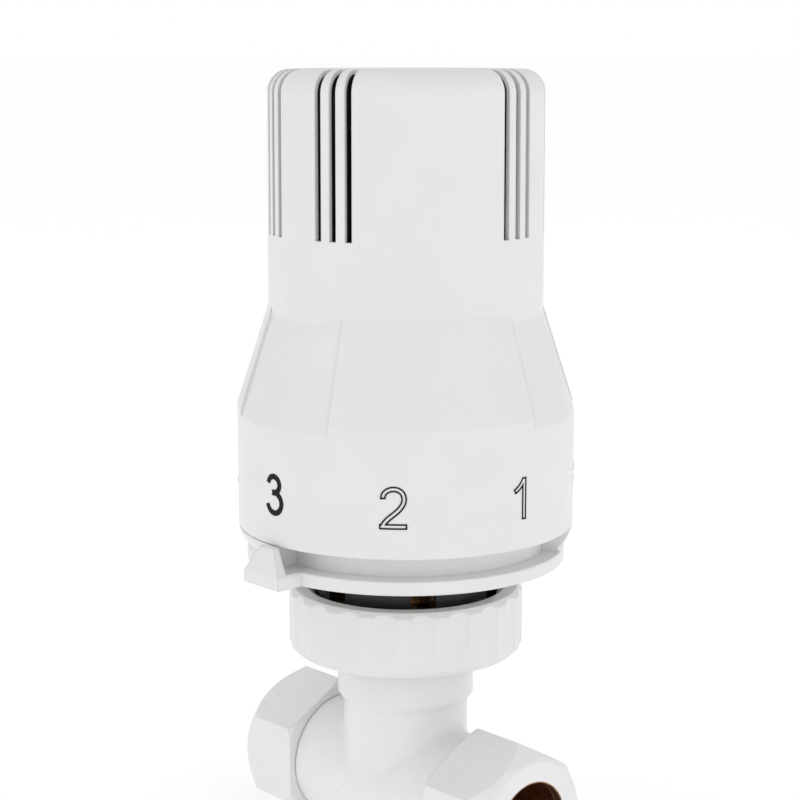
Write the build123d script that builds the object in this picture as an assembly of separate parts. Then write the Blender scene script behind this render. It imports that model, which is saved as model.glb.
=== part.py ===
"""Thermostatic radiator valve: straight 15 mm valve body with a rotary sensor head.

Millimetres. Every piece is drawn about the spindle: Z runs up the spindle from the pipe axis,
and X runs along the pipe, towards the inlet. The finished part is then moved along X, so that
the origin lies at the centre of the inlet nut's end face, with +X pointing out of the inlet.

The spindle is drawn 1.5 mm open, with the handwheel set to 3.
"""
import os
from math import cos, radians, sin

from build123d import *

os.makedirs("parts", exist_ok=True)

# ---- Driving dimensions -----------------------------------------------------------------
pipe_radius = 7.5                # 15 mm copper pipe
port_reach = 30.8                # spindle axis to the end face of each compression nut
barrel_radius = 10.9
hexagon_corner_radius = 13.7     # compression nuts, 23.7 mm across flats
valve_lift = 1.5                 # how far the valve stands open at setting 3

collar_radius = 11.7
thread_radius = 15.0             # M30 connection between valve and head
union_nut_radius = 20.0
union_nut_bottom = 24.2
union_nut_height = 11.1
union_nut_ribs = 20
first_rib = -43.0

ring_radius = 27.0
ring_bottom = 40.3
skirt_radius = 28.4
skirt_bottom = 46.55
cone_bottom = 67.1
cone_top = 83.75
crown_radius = 22.85
head_top = 122.35

setting_step = 44.0              # degrees between two settings of the scale
frost_turn = 140.0               # degrees from setting 3 back to the frost mark
pointer_angle = -90.0            # the setting read off stands here, square to the pipe
window_start = -90.6
window_end = 31.2
lobe_angles = (-31.5, 88.5, 208.5)
flute_angles = (-91.5, 28.5, 148.5)
flute_width = 47.5               # degrees
flute_drop = 1.3                 # how much lower the cone lies in a flute
key_width = 2.4                  # ribs inside the crown, which turn the sensor with it

# ---- Clearances -------------------------------------------------------------------------
running_fit = 0.05
loose_fit = 0.3
thread_play = 0.15
seam = 0.15                      # between handwheel and pointer ring

# ---- Worked out -------------------------------------------------------------------------
socket_radius = pipe_radius + running_fit
union_nut_top = union_nut_bottom + union_nut_height
ring_top = ring_bottom + 2.32
ring_wall_radius = 23.8
bead_top = skirt_bottom - seam
body_top = union_nut_bottom + 0.2
insert_shoulder = union_nut_bottom + 7.1
seat_top = 1.8
seat_bore = 5.0
spindle_radius = 2.0
spindle_top = 36.9
capsule_bottom = 86.5
capsule_top = 113.0
crown_wall_radius = crown_radius - 1.9


def turned(*outline):
    """Solid of revolution about Z through (radius, height) corners."""
    corners = [(radius, 0, height) for radius, height in outline]
    return revolve(make_face(Polyline(*corners, close=True)), Axis.Z)


def tube(outer, inner, low, high):
    """Plain ring or sleeve about Z."""
    return turned((inner, low), (outer, low), (outer, high), (inner, high))


def disc(radius, low, high):
    """Plain round disc or pin about Z."""
    return turned((0, low), (radius, low), (radius, high), (0, high))


def sector(start, end, reach, low, high):
    """Wedge of a round block between two angles about Z, for cutting."""
    span = end - start
    steps = int(span // 30) + 1
    rim = [start + span * step / steps for step in range(steps + 1)]
    corners = [(0, 0)] + [(reach * cos(radians(a)), reach * sin(radians(a))) for a in rim]
    return Pos(0, 0, low) * extrude(make_face(Polyline(*corners, close=True)), high - low)


def radial_bar(angle, near, far, width, low, high):
    """Bar that points away from Z at an angle."""
    bar = Box(far - near, width, high - low, align=(Align.MIN, Align.CENTER, Align.MIN))
    return Rot(0, 0, angle) * Pos(near, 0, low) * bar


def towards(port, shape):
    """Lay a shape drawn along Z along the pipe: port is 1 for the inlet, -1 for the outlet."""
    return Rot(0, 90 * port, 0) * shape


def coil(radius, wire_radius, low, high, turns):
    """Compression spring with open ends."""
    rise = high - low - 2 * wire_radius
    path = Helix(pitch=rise / turns, height=rise, radius=radius, center=(0, 0, low + wire_radius))
    section = Plane(origin=path @ 0, z_dir=path % 0) * Circle(wire_radius)
    return sweep(section, path=path, is_frenet=True)


# ---- Valve body and its pipe connections -------------------------------------------------
pipe_stop = 15.0                 # how deep a pipe goes in, from the spindle
body_end = port_reach - 5.4
socket_end = body_end - 3        # the screwed end is coned from here on, for the olive
olive_end = port_reach - 1.6
nut_start = 17.3
face_gap = 0.15                  # between a nut and the barrel's shoulder


def valve_body():
    """Brass body: barrel, neck, screwed ends, seat and waterways."""
    barrel = towards(1, disc(barrel_radius, face_gap - nut_start, nut_start - face_gap))
    neck = disc(barrel_radius - 0.2, 0, body_top)
    body = barrel + neck
    saddle = [e for e in body.edges() if e.geom_type not in (GeomType.CIRCLE, GeomType.LINE)]
    body = fillet(saddle, 2.2)
    body += turned((0, 15.0), (barrel_radius - 0.2, 15.0), (collar_radius, 16.4),
                   (collar_radius, body_top - 0.4), (collar_radius - 0.4, body_top), (0, body_top))
    waterway = 5.5
    chamber = 8.3
    insert_bore = 9.05
    screw_radius = 10.3
    mouth_radius = 9.2               # where the olive's cone is widest
    drilling = 3.0                   # radius of the ways under and over the seat
    for port in (1, -1):
        screwed_end = disc(screw_radius, nut_start - 2, body_end)
        body += towards(port, screwed_end)
        mouth = turned((0, pipe_stop), (socket_radius, pipe_stop), (socket_radius, socket_end),
                       (mouth_radius, body_end), (mouth_radius, body_end + 1), (0, body_end + 1))
        body -= towards(port, mouth)
        body -= towards(port, disc(waterway, 9.5, pipe_stop + 1))
    body -= disc(seat_bore, -6.5, seat_top + 1)
    body -= disc(chamber, seat_top - 0.8, 9)
    body -= disc(insert_bore, 8.5, body_top + 1)
    body += tube(seat_bore + 1.2, seat_bore, seat_top - 0.9, seat_top)
    under_seat = Pos(0, 0, -3.2) * towards(1, disc(drilling, 0, 10.5))
    over_seat = Pos(0, 0, 4.6) * towards(-1, disc(drilling, 4, 10.5))
    return body - under_seat - over_seat


def compression_nut(port):
    """Hexagon nut with one corner up, coned off towards the pipe."""
    hexagon = extrude(RegularPolygon(hexagon_corner_radius, 6), port_reach - nut_start)
    beyond = hexagon_corner_radius + 1
    corner = hexagon_corner_radius
    envelope = turned((0, nut_start), (corner - 1, nut_start), (corner, nut_start + 0.7),
                      (beyond, nut_start + 0.7), (beyond, port_reach - 4), (corner, port_reach - 3.5),
                      (11.5, port_reach - 0.4), (11.0, port_reach), (0, port_reach))
    nut = (Pos(0, 0, nut_start) * hexagon) & envelope
    thread = 10.45
    nut -= turned((0, nut_start - 1), (thread + 0.4, nut_start - 1), (thread, nut_start + 0.5),
                  (thread, port_reach - 4.7), (9.3, port_reach - 4), (socket_radius, olive_end),
                  (socket_radius, port_reach + 1), (0, port_reach + 1))
    return towards(port, nut)


def olive(port):
    """Copper compression ring, tapered both ways."""
    widest = 8.8
    ring = turned((socket_radius, socket_end), (widest, socket_end + 2.5), (widest, socket_end + 4.2),
                  (socket_radius, olive_end))
    return towards(port, ring)


# ---- Valve insert, gland and spindle -----------------------------------------------------
spring_floor = 12.0
clip_height = 23.5
gland_bore = 4.25


def valve_insert():
    """Brass insert: screwed into the neck, with the M30 thread for the head."""
    insert = turned((0, 10), (8.4, 10), (9.0, 10.6), (9.0, body_top + 0.1), (14.2, body_top + 0.1),
                    (thread_radius - thread_play, body_top + 0.7),
                    (thread_radius - thread_play, insert_shoulder - 0.6),
                    (14.2, insert_shoulder), (7.4, insert_shoulder), (7.4, 33.0), (7.0, 33.4), (0, 33.4))
    insert -= disc(5.2, spring_floor, 27.3)
    insert -= disc(gland_bore, 27.0, 34)
    insert -= disc(spindle_radius + 0.4, 9, spring_floor + 1)
    return insert - tube(9.5, 7.4, 20, 21.8)


def insert_o_ring():
    """Rubber ring that seals the insert in the neck."""
    return Pos(0, 0, 20.9) * Torus(8.2, 0.8)


def gland_nut():
    """Small hexagon gland that closes the insert round the spindle."""
    shank = disc(gland_bore - running_fit, 29.1, 33.4)
    head = extrude(RegularPolygon(6.35, 6), 1.7)
    head &= turned((0, 0), (7, 0), (7, 1.2), (5.6, 1.7), (0, 1.7))
    return shank + Pos(0, 0, 33.4) * head - disc(spindle_radius + running_fit, 29, 36)


def spindle_o_ring():
    """Rubber ring that seals the spindle under the gland."""
    return Pos(0, 0, 28.3) * Torus(2.75, 0.7)


def valve_spindle():
    """Steel pin from the valve disc to the head, with a groove for its clip."""
    pin = turned((0, 5.6), (spindle_radius, 5.6), (spindle_radius, spindle_top - 0.6),
                 (spindle_radius - 0.6, spindle_top), (0, spindle_top))
    return pin - tube(spindle_radius + 1, 1.6, clip_height, clip_height + 0.8)


def spindle_clip():
    """Steel clip that the return spring pushes up against, open on one side."""
    ring = tube(4.6, 1.62, clip_height + 0.05, clip_height + 0.75)
    return ring - radial_bar(0, 0, 6, 2.6, clip_height - 1, clip_height + 2)


def return_spring():
    """Spring that opens the valve as the head lets go of it."""
    return coil(3.6, 0.4, spring_floor + 0.05, clip_height, 6.5)


def valve_disc():
    """Brass disc on the spindle, hollow underneath for its seal."""
    bottom = seat_top + valve_lift + 1.1
    plate = turned((0, bottom), (6.6, bottom), (6.6, 6.9), (6.3, 7.2), (3.2, 7.2), (3.2, 8.8), (0, 8.8))
    plate -= disc(5.85, bottom - 1, bottom + 0.6)
    return plate - disc(spindle_radius, 5.6, 10)


def disc_seal():
    """Rubber seal that closes on the seat."""
    bottom = seat_top + valve_lift + 0.1
    return turned((0, bottom), (5.6, bottom), (5.8, bottom + 0.2), (5.8, bottom + 1.6), (0, bottom + 1.6))


# ---- Head: union nut, base and pointer ring ----------------------------------------------
def union_nut():
    """Ribbed nut that holds the head's snap fingers down on the insert."""
    low, high = union_nut_bottom, union_nut_top
    nut = turned((thread_radius, low), (18.9, low), (union_nut_radius, low + 1.1),
                 (union_nut_radius, high - 0.9), (19.2, high), (17.1, high), (15.75, high - 1.1),
                 (15.75, high - 2.0), (17.2, high - 2.5), (17.2, insert_shoulder),
                 (thread_radius, insert_shoulder))
    scallop_radius = 5.0
    scallop_depth = 0.5
    scallop_reach = union_nut_radius + scallop_radius - scallop_depth
    cutter = Pos(scallop_reach, 0, 0) * disc(scallop_radius, low - 1, high + 1)
    pitch = 360 / union_nut_ribs
    for index in range(union_nut_ribs):
        nut -= Rot(0, 0, first_rib + pitch * (index + 0.5)) * cutter
    return nut


finger_radius = 15.3
finger_wall = 1.4
base_plate_bottom = ring_top
base_plate_top = base_plate_bottom + 2.1
tower_bore = 12.8
first_finger_slot = -30.9


def head_base():
    """Black base: snap fingers below, plate in the pointer ring, threaded tower above."""
    inner = finger_radius - finger_wall
    foot = insert_shoulder + 0.05
    collar = turned((inner, foot), (16.2, foot), (16.6, foot + 0.5), (16.6, foot + 1.0),
                    (finger_radius, foot + 1.8), (finger_radius, base_plate_top), (inner, base_plate_top))
    slot_height = 8.0
    slot_width = 4.2
    for index in range(6):
        angle = first_finger_slot + 60 * index
        collar -= radial_bar(angle, 10, 20, slot_width, foot - 1, foot + slot_height)
    plate = tube(22.1, tower_bore, base_plate_bottom, base_plate_top)
    tower = turned((tower_bore, base_plate_top - 1), (14.6, base_plate_top - 1), (14.6, 65.4), (14.2, 66.0),
                   (tower_bore + 0.5, 66.0), (tower_bore, 65.5))
    return collar + plate + tower


def pointer():
    """Wedge that points at the setting, standing proud of the ring."""
    half_base = 4.45
    half_tip = 1.7
    reach = 31.4
    tip = skirt_bottom
    side = Polyline((24, ring_bottom), (reach, ring_bottom), (reach, ring_top - 0.4), (30.1, tip),
                    (29.0, tip), (29.5, ring_top), (24, ring_top), close=True)
    front = Polyline((-half_base, ring_bottom), (half_base, ring_bottom), (half_base, ring_top - 0.4),
                     (half_tip, tip), (-half_tip, tip), (-half_base, ring_top - 0.4), close=True)
    along_radius = Plane(origin=(0, half_base, 0), x_dir=(1, 0, 0), z_dir=(0, -1, 0))
    across_radius = Plane(origin=(0, 0, 0), x_dir=(0, 1, 0), z_dir=(1, 0, 0))
    wedge = extrude(along_radius * make_face(side), 2 * half_base)
    wedge &= extrude(across_radius * make_face(front), reach + 1)
    return Rot(0, 0, pointer_angle) * wedge


def pointer_ring():
    """White ring under the handwheel, with a bead, a window and the pointer."""
    groove = 26.5
    wall = ring_wall_radius
    hook_low = skirt_bottom + 2.6
    bore = 22.3
    finger_hole = finger_radius + 0.4
    bead_radius = skirt_radius - 0.05
    profile = Polyline((bore, ring_top), (finger_hole, ring_top), (finger_hole, ring_bottom),
                       (ring_radius - 0.25, ring_bottom), (ring_radius, ring_bottom + 0.25),
                       (ring_radius, ring_top - 0.15), (groove, ring_top + 0.8))
    bead = ThreePointArc((groove, ring_top + 0.8), (27.75, ring_top + 2.05), (bead_radius, bead_top - 0.3))
    rest = Polyline((bead_radius, bead_top - 0.3), (bead_radius, bead_top), (wall, bead_top),
                    (wall, hook_low), (wall + 1.1, hook_low), (wall + 1.1, hook_low + 0.5),
                    (wall, hook_low + 1.9), (bore, hook_low + 1.9), (bore, ring_top))
    section = make_face(Plane.XZ * (Curve() + [profile, bead, rest]))
    ring = revolve(section, Axis.Z)
    window = tube(ring_radius + 5, wall, ring_top, bead_top + 0.1)
    ring -= window & sector(window_start, window_end, 2 * ring_radius, ring_top - 1, bead_top + 1)
    for index in range(6):
        ring -= radial_bar(60 * index, 20, 26, 3.0, skirt_bottom + 0.5, skirt_bottom + 6)
    return ring + pointer()


# ---- Handwheel and its scale -------------------------------------------------------------
def handwheel():
    """White shell: scale skirt, cone with three lobes, crown with vents."""
    skin = 2.2
    top_round = 3.7
    flange_top = skirt_bottom + 2.5
    flange_bore = ring_wall_radius + loose_fit
    shell = turned((flange_bore, skirt_bottom), (skirt_radius, skirt_bottom), (skirt_radius, cone_bottom),
                   (crown_radius + 0.15, cone_top), (crown_radius, head_top), (0, head_top),
                   (0, head_top - 2.8), (crown_wall_radius, head_top - 2.8), (crown_wall_radius, cone_top),
                   (skirt_radius - skin, cone_bottom - 0.6), (skirt_radius - skin, flange_top),
                   (flange_bore, flange_top))
    rims = shell.edges().filter_by(GeomType.CIRCLE)
    shell = fillet([e for e in rims if e.radius > crown_radius - 0.1 and e.center().Z > head_top - 0.1],
                   top_round)
    outside = turned((skirt_radius + 5, cone_bottom - 6), (skirt_radius + 0.01, cone_bottom - 6),
                     (skirt_radius, cone_bottom - flute_drop),
                     (crown_radius + 0.15, cone_top - flute_drop), (crown_radius + 0.15, cone_top + 3),
                     (skirt_radius + 5, cone_top + 3))
    beyond = 2 * skirt_radius
    for angle in flute_angles:
        shell -= outside & sector(angle - flute_width / 2, angle + flute_width / 2, beyond, 50, 100)
    for angle in lobe_angles:
        shell += radial_bar(angle, 16.4, crown_wall_radius + 0.6, key_width, cone_top - 1, head_top - 2.5)
    return shell - vents()


def vents():
    """Cutters for the vents: three slots in each of six groups, open over the rounded edge."""
    slot_width = 1.15
    slot_bottom = 95.7
    slot_inner = 19.2
    slot_pitch = 7.0
    cutters = []
    for flute in flute_angles:
        for group in (-19.5, 19.5):
            for step in (-1, 0, 1):
                angle = flute + group + step * slot_pitch
                cutters.append(radial_bar(angle, slot_inner, 26, slot_width, slot_bottom, head_top + 1))
    return cutters


# The scale is drawn as strokes in millimetres, u to the right and v up from a digit's foot.
digit_height = 6.9
stroke = 0.9
outline_width = 0.25
scale_foot = 51.5


def strokes_of(digit):
    """Pen lines of one digit, without serifs: each with whether its start and its end are free."""
    top = digit_height - stroke / 2
    foot = stroke / 2
    if digit == "1":
        return [(Line((0.85, 0), (0.85, digit_height)), True, True),
                (ThreePointArc((0.8, 6.6), (-0.1, 5.45), (-1.25, 4.7)), False, True)]
    if digit == "2":
        swan_neck = Spline((-1.58, 4.85), (-1.1, 6.05), (0.1, top), (1.3, 6.0), (1.75, 4.85), (1.3, 3.6),
                           (0.1, 2.4), (-1.1, 1.35), (-1.8, 0.1))
        return [(swan_neck, True, False), (Line((-2.2, foot), (2.25, foot)), True, True)]
    if digit == "3":
        return [(ThreePointArc((-1.5, 5.25), (-0.1, top), (1.3, 5.2)), True, False),
                (ThreePointArc((1.3, 5.2), (0.8, 4.15), (-0.5, 3.8)), False, True),
                (ThreePointArc((-0.5, 3.8), (1.2, 3.35), (1.75, 2.15)), True, False),
                (ThreePointArc((1.75, 2.15), (-0.05, foot), (-1.75, 1.8)), False, True)]
    if digit == "4":
        return [(Line((0.9, 0), (0.9, digit_height)), True, True),
                (Line((0.8, 6.7), (-1.9, 2.1)), False, False),
                (Line((-2.25, 2.05), (2.1, 2.05)), True, True)]
    return [(Line((-1.15, top), (1.75, top)), False, True),
            (Line((-1.05, digit_height), (-1.5, 3.4)), False, True),
            (ThreePointArc((-1.39, 3.69), (1.85, 2.35), (-1.77, 1.55)), True, True)]


def inked(digit, inset):
    """Face of a digit, drawn smaller all round by an inset."""
    face = Sketch()
    for line, free_start, free_end in strokes_of(digit):
        cut = inset / line.length
        kept = line.edge().trim(cut if free_start else 0, 1 - cut if free_end else 1)
        face += trace(kept, line_width=stroke - 2 * inset)
    window = Rectangle(3 * digit_height, digit_height - 2 * inset)
    return face & Pos(0, digit_height / 2) * window


def hollow_digit(digit):
    """Face of a digit's outline, white inside."""
    return inked(digit, 0) - inked(digit, outline_width)


def snowflake():
    """Face of the frost protection symbol: three bars with small arms."""
    bars = []
    for angle in (30, 90, 150):
        bars.append(Line((0, -2.6), (0, 2.6)).rotate(Axis.Z, angle - 90))
        for side in (0, 180):
            arms = Polyline((-0.8, 2.4), (0, 1.6), (0.8, 2.4))
            bars.append(arms.rotate(Axis.Z, angle - 90 + side))
    return Pos(0, digit_height / 2) * trace(bars, line_width=0.35)


def scale_digits():
    """Printed scale: a thin black skin on the skirt, one mark for each setting."""
    ink = 0.08
    skin = tube(skirt_radius + ink, skirt_radius, scale_foot - 1, scale_foot + digit_height + 1)
    marks = {-frost_turn: snowflake(), -2 * setting_step: hollow_digit("1"), -setting_step: hollow_digit("2"),
             0: inked("3", 0), setting_step: hollow_digit("4"), 2 * setting_step: hollow_digit("5")}
    printed = []
    for turn, mark in marks.items():
        angle = pointer_angle - turn
        out = (cos(radians(angle)), sin(radians(angle)), 0)
        plane = Plane(origin=(24 * out[0], 24 * out[1], scale_foot), x_dir=(-out[1], out[0], 0), z_dir=out)
        for solid in extrude(plane * mark, 6).solids():
            printed += (solid & skin).solids()
    return Compound(printed)


# ---- Sensor: carrier, capsule and the train down to the spindle ---------------------------
def sensor_carrier():
    """Threaded carrier: it screws in the base's tower and is keyed to the handwheel's ribs."""
    tube_radius = tower_bore - 2 * running_fit
    bore = 9.0
    low = 50.0
    rim = crown_wall_radius - 0.9
    keyway = key_width + 2 * loose_fit
    carrier = turned((4.2, low), (tube_radius - 0.4, low), (tube_radius, low + 0.4),
                     (tube_radius, capsule_bottom - 2.5), (rim, capsule_bottom - 2.5), (rim, capsule_bottom),
                     (bore, capsule_bottom), (bore, low + 2), (4.2, low + 2))
    for angle in lobe_angles:
        carrier -= radial_bar(angle, 16.0, 30, keyway, capsule_bottom - 4, capsule_bottom + 1)
    return carrier


def sensor_capsule():
    """Sealed liquid capsule that grows with the room's warmth."""
    radius = 14.5
    return turned((0, capsule_bottom), (radius - 0.8, capsule_bottom), (radius, capsule_bottom + 0.8),
                  (radius, capsule_top - 5), (radius - 1.2, capsule_top - 2.2),
                  (radius - 3.4, capsule_top - 0.6), (radius - 6, capsule_top), (0, capsule_top))


cup_bottom = 58.0
cup_top = 72.0
cup_wall = 1.3
cup_radius = 8.7


def sensor_pin():
    """Steel pin that comes out of the capsule and presses on the spring cup."""
    return turned((0, cup_top), (1.6, cup_top), (2.0, cup_top + 0.5), (2.0, capsule_bottom),
                  (0, capsule_bottom))


def spring_cup():
    """Cup round the overtravel spring."""
    inner = cup_radius - cup_wall
    return turned((3.5, cup_bottom), (cup_radius, cup_bottom), (cup_radius, cup_top), (0, cup_top),
                  (0, cup_top - 1.5), (inner, cup_top - 1.5), (inner, cup_bottom + 1.2),
                  (3.5, cup_bottom + 1.2))


def overtravel_spring():
    """Stiff spring that gives way when the valve is shut and the capsule still grows."""
    return coil(5.6, 0.8, cup_bottom + 3.0, cup_top - 1.55, 3.5)


def push_rod():
    """Plastic rod between the spring cup and the valve spindle."""
    low = spindle_top + 0.05
    flange = cup_bottom + 1.25
    return turned((0, low), (2.6, low), (3.2, low + 0.6), (3.2, flange), (7.1, flange), (7.1, flange + 1.7),
                  (3.2, flange + 1.7), (3.2, flange + 3.5), (0, flange + 3.5))


pieces = {
    "valve_body": valve_body(),
    "valve_insert": valve_insert(),
    "insert_o_ring": insert_o_ring(),
    "gland_nut": gland_nut(),
    "spindle_o_ring": spindle_o_ring(),
    "valve_spindle": valve_spindle(),
    "spindle_clip": spindle_clip(),
    "return_spring": return_spring(),
    "valve_disc": valve_disc(),
    "disc_seal": disc_seal(),
    "inlet_nut": compression_nut(1),
    "outlet_nut": compression_nut(-1),
    "inlet_olive": olive(1),
    "outlet_olive": olive(-1),
    "union_nut": union_nut(),
    "head_base": head_base(),
    "pointer_ring": pointer_ring(),
    "handwheel": handwheel(),
    "scale_digits": scale_digits(),
    "sensor_carrier": sensor_carrier(),
    "sensor_capsule": sensor_capsule(),
    "sensor_pin": sensor_pin(),
    "spring_cup": spring_cup(),
    "overtravel_spring": overtravel_spring(),
    "push_rod": push_rod(),
}

to_inlet_face = Pos(-port_reach, 0, 0)
for name, shape in pieces.items():
    export_step(to_inlet_face * shape, f"parts/{name}.step")
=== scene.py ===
"""Looks of a white thermostatic radiator valve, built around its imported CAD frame. Metres, +Z up."""

import math

import bpy
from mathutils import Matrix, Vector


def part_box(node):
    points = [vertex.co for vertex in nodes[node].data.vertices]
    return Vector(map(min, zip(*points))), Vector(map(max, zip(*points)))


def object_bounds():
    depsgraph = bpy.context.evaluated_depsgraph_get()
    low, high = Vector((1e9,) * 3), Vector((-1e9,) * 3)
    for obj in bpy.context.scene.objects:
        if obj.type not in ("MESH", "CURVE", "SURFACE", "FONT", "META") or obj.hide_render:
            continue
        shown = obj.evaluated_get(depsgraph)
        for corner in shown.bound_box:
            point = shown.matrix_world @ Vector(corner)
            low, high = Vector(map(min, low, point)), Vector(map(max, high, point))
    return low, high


MM = 0.001

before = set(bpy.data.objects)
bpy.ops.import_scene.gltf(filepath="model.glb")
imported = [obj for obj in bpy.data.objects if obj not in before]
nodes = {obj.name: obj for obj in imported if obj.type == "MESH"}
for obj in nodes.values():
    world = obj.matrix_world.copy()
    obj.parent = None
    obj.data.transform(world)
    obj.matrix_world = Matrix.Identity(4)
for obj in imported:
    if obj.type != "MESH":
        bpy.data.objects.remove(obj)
cad_low, cad_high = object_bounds()

# Places that come from the frame.
wheel_low, wheel_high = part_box("handwheel")
axis_x = (wheel_low.x + wheel_high.x) / 2
floor_height = cad_low.z

# Camera: level with the top of the head, tilted down so that the valve body shows.
camera_distance = 328.0 * MM
camera_height = 125.55 * MM
camera_azimuth = 48.0
camera_pitch = 10.11
camera_yaw = 0.17
camera_lens = 88.62

# Light.
room_light = 0.74
ceiling_light = 0.80
floor_glow = 0.30
floor_size = 40.0

# Finishes.
plastic_white = (0.790, 0.790, 0.786, 1)
plastic_shade = (0.768, 0.769, 0.767, 1)
lacquer_white = (0.815, 0.815, 0.812, 1)
lacquer_shade = (0.790, 0.792, 0.790, 1)
bare_brass = (0.42, 0.27, 0.15, 1)
stained_brass = (0.26, 0.15, 0.08, 1)
pipe_bore = 7.75 * MM
chamber_bore = 9.35 * MM
# Painted shade: a near-black colour put deep inside the vents in place of their shadow.
painted_vent_shade = (0.018, 0.018, 0.019, 1)
crown_radius = 22.85 * MM
crown_bottom = 84.0 * MM
top_round = 3.7 * MM
vent_lip = 0.7 * MM


# ---------------------------------------------------------------- node helpers


class Nodes:
    """A small helper that adds nodes to one material and links them."""

    def __init__(self, name):
        self.material = bpy.data.materials.new(name)
        self.material.use_nodes = True
        self.tree = self.material.node_tree
        self.tree.nodes.clear()
        output = self.tree.nodes.new("ShaderNodeOutputMaterial")
        self.shader = self.tree.nodes.new("ShaderNodeBsdfPrincipled")
        self.link(self.shader.outputs["BSDF"], output.inputs["Surface"])
        self.place = self.add("TexCoord").outputs["Object"]

    def add(self, kind, **values):
        """A shader node of that kind, with its settings or input values given by name."""
        node = self.tree.nodes.new("ShaderNode" + kind)
        for key, value in values.items():
            if hasattr(node, key):
                setattr(node, key, value)
            else:
                node.inputs[key.replace("_", " ")].default_value = value
        return node

    def link(self, source, target):
        self.tree.links.new(source, target)

    def noise(self, size, detail=3.0, place=None):
        """Noise whose blobs are about that size, in metres. It runs from 0 to 1."""
        node = self.add("TexNoise", Scale=1 / size, Detail=detail)
        self.link(place or self.place, node.inputs["Vector"])
        return node.outputs["Fac"]

    def math(self, operation, first, second=None, third=None):
        node = self.add("Math", operation=operation)
        for socket, value in zip(node.inputs, (first, second, third)):
            if value is None:
                continue
            if isinstance(value, (int, float)):
                socket.default_value = value
            else:
                self.link(value, socket)
        return node.outputs[0]

    def spread(self, source, low, high, start=0.0, end=1.0):
        """Maps source from start..end to low..high."""
        node = self.add("MapRange", clamp=True)
        self.link(source, node.inputs["Value"])
        node.inputs["From Min"].default_value = start
        node.inputs["From Max"].default_value = end
        node.inputs["To Min"].default_value = low
        node.inputs["To Max"].default_value = high
        return node.outputs["Result"]

    def mix(self, factor, first, second):
        """A colour between first and second, each of them a colour or a socket."""
        node = self.add("Mix", data_type="RGBA")
        self.link(factor, node.inputs[0])
        for socket, value in ((node.inputs[6], first), (node.inputs[7], second)):
            if isinstance(value, tuple):
                socket.default_value = value
            else:
                self.link(value, socket)
        return node.outputs[2]

    def set(self, **sockets):
        """Sets the shader's sockets: a number or a colour is a value, and anything else is linked."""
        for key, value in sockets.items():
            socket = self.shader.inputs[key.replace("_", " ")]
            if isinstance(value, (int, float, tuple)):
                socket.default_value = value
            else:
                self.link(value, socket)

    def relief(self, height, distance, edge=0.0):
        """A bump of that height map, with edges softened over the radius edge."""
        node = self.add("Bump", Strength=1.0, Distance=distance)
        self.link(height, node.inputs["Height"])
        if edge:
            rounding = self.add("Bevel", samples=4, Radius=edge)
            self.link(rounding.outputs["Normal"], node.inputs["Normal"])
        self.set(Normal=node.outputs["Normal"])


# ---------------------------------------------------------------- materials


def painted_vent_shade_mask(m):
    """1 on surfaces deeper than vent_lip under the crown's skin, else 0.

    Only the vents show such surfaces. The dark colour there is painted shade, standing in for the shadow
    deep behind them.
    """
    centred = m.add("VectorMath", operation="SUBTRACT")
    m.link(m.place, centred.inputs[0])
    centred.inputs[1].default_value = (axis_x, 0, 0)
    split = m.add("SeparateXYZ")
    m.link(centred.outputs["Vector"], split.inputs["Vector"])
    x, y, z = (split.outputs[name] for name in "XYZ")
    radius = m.math("SQRT", m.math("ADD", m.math("MULTIPLY", x, x), m.math("MULTIPLY", y, y)))
    out = m.math("MAXIMUM", m.math("SUBTRACT", radius, crown_radius - top_round), 0)
    up = m.math("MAXIMUM", m.math("SUBTRACT", z, wheel_high.z - top_round), 0)
    from_core = m.math("SQRT", m.math("ADD", m.math("MULTIPLY", out, out), m.math("MULTIPLY", up, up)))
    deep = m.math("LESS_THAN", from_core, top_round - vent_lip)
    return m.math("MULTIPLY", deep, m.math("GREATER_THAN", z, crown_bottom))


def white_gloss_plastic():
    """Moulded ABS: a faint orange peel, a cloudy tone and a soft satin gloss, with painted shade deep in
    the vents.
    """
    m = Nodes("white_plastic_moulded")
    cloud = m.noise(9 * MM)
    peel = m.noise(0.9 * MM, 2.0)
    grain = m.noise(0.16 * MM, 1.0)
    skin = m.mix(m.spread(cloud, 0, 1, 0.3, 0.7), plastic_white, plastic_shade)
    # Painted shade: surfaces deep inside the vents get the near-black colour instead of the plastic's
    # own tone.
    m.set(Base_Color=m.mix(painted_vent_shade_mask(m), skin, painted_vent_shade))
    m.set(Roughness=m.spread(m.math("ADD", cloud, grain), 0.30, 0.42, 0.6, 1.4))
    m.set(IOR=1.50)
    m.relief(m.math("MULTIPLY_ADD", grain, 0.25, peel), 0.003 * MM, edge=0.35 * MM)
    return m.material


def inside_bore(m, centre, axis, radius):
    """1 where the surface is nearer than radius to a line through centre along axis, else 0."""
    across = m.add("VectorMath", operation="SUBTRACT")
    m.link(m.place, across.inputs[0])
    across.inputs[1].default_value = centre
    flat = m.add("VectorMath", operation="MULTIPLY")
    m.link(across.outputs["Vector"], flat.inputs[0])
    flat.inputs[1].default_value = [1 - abs(part) for part in axis]
    length = m.add("VectorMath", operation="LENGTH")
    m.link(flat.outputs["Vector"], length.inputs[0])
    return m.math("LESS_THAN", length.outputs["Value"], radius)


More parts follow.
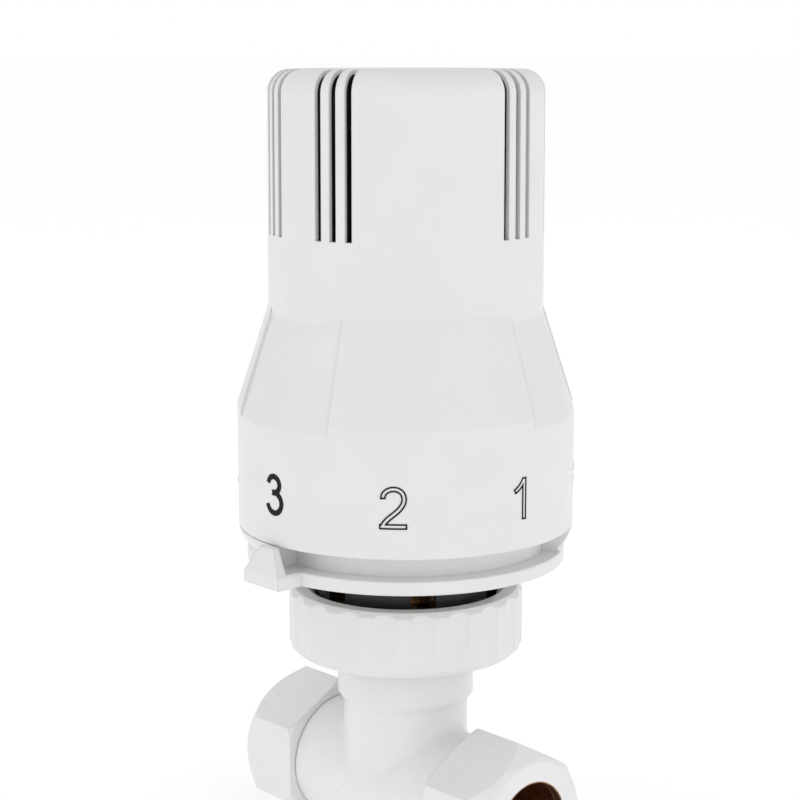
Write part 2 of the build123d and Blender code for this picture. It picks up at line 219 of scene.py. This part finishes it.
def white_lacquer():
    """Stoved white lacquer over brass, with bare, stained metal in the pipe sockets and valve chamber.

    The chamber's mask has no limit in height, so the barrel's underside shows bare metal too.
    """
    m = Nodes("white_lacquer_over_brass")
    cloud = m.noise(6 * MM)
    peel = m.noise(0.7 * MM, 2.0)
    stain = m.noise(1.6 * MM, 4.0)
    coat = m.mix(m.spread(cloud, 0, 1, 0.3, 0.7), lacquer_white, lacquer_shade)
    metal_colour = m.mix(m.spread(stain, 0, 1, 0.35, 0.65), bare_brass, stained_brass)
    in_pipe = inside_bore(m, (0, 0, 0), (1, 0, 0), pipe_bore)
    in_chamber = inside_bore(m, (axis_x, 0, 0), (0, 0, 1), chamber_bore)
    bare = m.math("MAXIMUM", in_pipe, in_chamber)
    m.set(Base_Color=m.mix(bare, coat, metal_colour))
    m.set(Metallic=m.math("MULTIPLY", bare, 0.9))
    m.set(Roughness=m.spread(cloud, 0.26, 0.36, 0.3, 0.7))
    m.set(IOR=1.50)
    m.relief(peel, 0.003 * MM, edge=0.4 * MM)
    return m.material


def black_plastic():
    """Black glass-filled nylon with a fine moulded grain."""
    m = Nodes("black_plastic_grained")
    grain = m.noise(0.25 * MM, 4.0)
    cloud = m.noise(5 * MM)
    m.set(Base_Color=m.mix(cloud, (0.006, 0.006, 0.007, 1), (0.014, 0.014, 0.015, 1)))
    m.set(Roughness=m.spread(grain, 0.22, 0.40))
    m.relief(grain, 0.012 * MM, edge=0.2 * MM)
    return m.material


def black_ink():
    """Pad-printed ink, a thin satin film with a slightly uneven cover."""
    m = Nodes("black_ink_printed")
    cover = m.noise(0.3 * MM, 3.0)
    m.set(Base_Color=m.mix(cover, (0.004, 0.004, 0.005, 1), (0.012, 0.012, 0.013, 1)))
    m.set(Roughness=m.spread(cover, 0.45, 0.6))
    m.set(Specular_IOR_Level=0.15)
    return m.material


def metal(name, light, dark, rough, line):
    """Turned metal with fine tool marks that follow its length, tarnished in clouds."""
    m = Nodes(name)
    stretched = m.add("Mapping", vector_type="POINT")
    m.link(m.place, stretched.inputs["Vector"])
    stretched.inputs["Scale"].default_value = (1.0, 0.12, 0.12)
    marks = m.noise(line, 2.0, stretched.outputs["Vector"])
    cloud = m.noise(3 * MM)
    m.set(Base_Color=m.mix(m.spread(cloud, 0, 1, 0.3, 0.7), light, dark))
    m.set(Metallic=1.0)
    m.set(Roughness=m.spread(marks, rough * 0.7, rough * 1.4, 0.3, 0.7))
    m.relief(marks, 0.008 * MM, edge=0.1 * MM)
    return m.material


def rubber():
    """Black EPDM, dull and slightly bloomed."""
    m = Nodes("rubber_dull")
    bloom = m.noise(0.8 * MM, 3.0)
    m.set(Base_Color=m.mix(bloom, (0.012, 0.012, 0.012, 1), (0.028, 0.028, 0.027, 1)))
    m.set(Roughness=m.spread(bloom, 0.55, 0.8))
    m.relief(bloom, 0.01 * MM)
    return m.material


def grey_plastic():
    """Dark grey acetal, waxy and slightly mottled."""
    m = Nodes("grey_plastic_waxy")
    cloud = m.noise(3 * MM)
    m.set(Base_Color=m.mix(cloud, (0.050, 0.052, 0.055, 1), (0.075, 0.078, 0.082, 1)))
    m.set(Roughness=m.spread(cloud, 0.38, 0.52))
    m.relief(m.noise(0.5 * MM), 0.006 * MM, edge=0.2 * MM)
    return m.material


finishes = {
    "white_gloss_plastic": white_gloss_plastic(),
    "white_lacquer": white_lacquer(),
    "black_plastic": black_plastic(),
    "black_ink": black_ink(),
    "brass": metal("brass_turned", (0.60, 0.40, 0.19, 1), (0.45, 0.28, 0.12, 1), 0.30, 0.2 * MM),
    "copper": metal("copper_turned", (0.60, 0.31, 0.20, 1), (0.42, 0.20, 0.12, 1), 0.32, 0.2 * MM),
    "steel": metal("steel_drawn", (0.55, 0.56, 0.57, 1), (0.42, 0.43, 0.44, 1), 0.28, 0.12 * MM),
    "rubber": rubber(),
    "grey_plastic": grey_plastic(),
    "capsule_metal": metal(
        "capsule_browned", (0.10, 0.095, 0.09, 1), (0.06, 0.057, 0.052, 1), 0.45, 0.3 * MM),
}
for piece in nodes.values():
    for material_slot in piece.material_slots:
        material_slot.material = finishes[material_slot.material.name.split(".")[0]]


# ---------------------------------------------------------------- floor, light and camera


def floor():
    """A plain pale floor that the valve lies on."""
    bpy.ops.mesh.primitive_plane_add(size=floor_size, location=(axis_x, 0, floor_height))
    plane = bpy.context.object
    plane.name = "floor"
    m = Nodes("floor_pale")
    cloud = m.noise(60 * MM)
    m.set(Base_Color=m.mix(cloud, (0.86, 0.86, 0.86, 1), (0.88, 0.88, 0.88, 1)))
    m.set(Roughness=0.9)
    m.set(Emission_Color=(1, 1, 1, 1))
    m.set(Emission_Strength=floor_glow)
    plane.data.materials.append(m.material)


def softbox(name, azimuth, elevation, distance, width, height, power, diffuse):
    """A rectangular lamp that faces the head's middle from that direction."""
    target_height = (cad_low.z + cad_high.z) / 2
    lamp = bpy.data.lights.new(name, "AREA")
    lamp.shape = "RECTANGLE"
    lamp.size = width
    lamp.size_y = height
    lamp.energy = power
    lamp.diffuse_factor = diffuse
    holder = bpy.data.objects.new(name, lamp)
    bpy.context.scene.collection.objects.link(holder)
    a = math.radians(azimuth)
    e = math.radians(elevation)
    holder.location = (
        axis_x + distance * math.sin(a) * math.cos(e),
        -distance * math.cos(a) * math.cos(e),
        target_height + distance * math.sin(e),
    )
    holder.rotation_euler = (math.radians(90) - e, 0, a)


def sky():
    """An even white room, slightly brighter overhead, that shows as a white backdrop."""
    world = bpy.data.worlds.new("room")
    world.use_nodes = True
    tree = world.node_tree
    background = tree.nodes["Background"]
    direction = tree.nodes.new("ShaderNodeTexCoord")
    split = tree.nodes.new("ShaderNodeSeparateXYZ")
    brightness = tree.nodes.new("ShaderNodeMapRange")
    brightness.inputs["To Min"].default_value = room_light
    brightness.inputs["To Max"].default_value = ceiling_light
    seen = tree.nodes.new("ShaderNodeLightPath")
    backdrop = tree.nodes.new("ShaderNodeMath")
    backdrop.operation = "MAXIMUM"
    tree.links.new(direction.outputs["Generated"], split.inputs["Vector"])
    tree.links.new(split.outputs["Z"], brightness.inputs["Value"])
    tree.links.new(brightness.outputs["Result"], backdrop.inputs[0])
    tree.links.new(seen.outputs["Is Camera Ray"], backdrop.inputs[1])
    tree.links.new(backdrop.outputs["Value"], background.inputs["Strength"])
    background.inputs["Color"].default_value = (1, 1, 1, 1)
    bpy.context.scene.world = world


def camera():
    """Looks at the head over the corner between the inlet and the front."""
    lens = bpy.data.cameras.new("camera")
    lens.lens = camera_lens
    lens.clip_start = 0.01
    holder = bpy.data.objects.new("camera", lens)
    bpy.context.scene.collection.objects.link(holder)
    a = math.radians(camera_azimuth)
    holder.location = (
        axis_x + camera_distance * math.sin(a),
        -camera_distance * math.cos(a),
        camera_height,
    )
    holder.rotation_euler = (
        math.radians(90 - camera_pitch),
        0,
        math.radians(camera_azimuth + camera_yaw),
    )
    bpy.context.scene.camera = holder


floor()
sky()
softbox("lamp_right", azimuth=101, elevation=15, distance=1.5, width=1.87, height=1.2,
        power=3.5, diffuse=0.1)
softbox("lamp_left", azimuth=-15, elevation=25, distance=1.2, width=0.5, height=1.2,
        power=1.5, diffuse=0.2)
camera()
bpy.context.scene.view_settings.view_transform = "Standard"
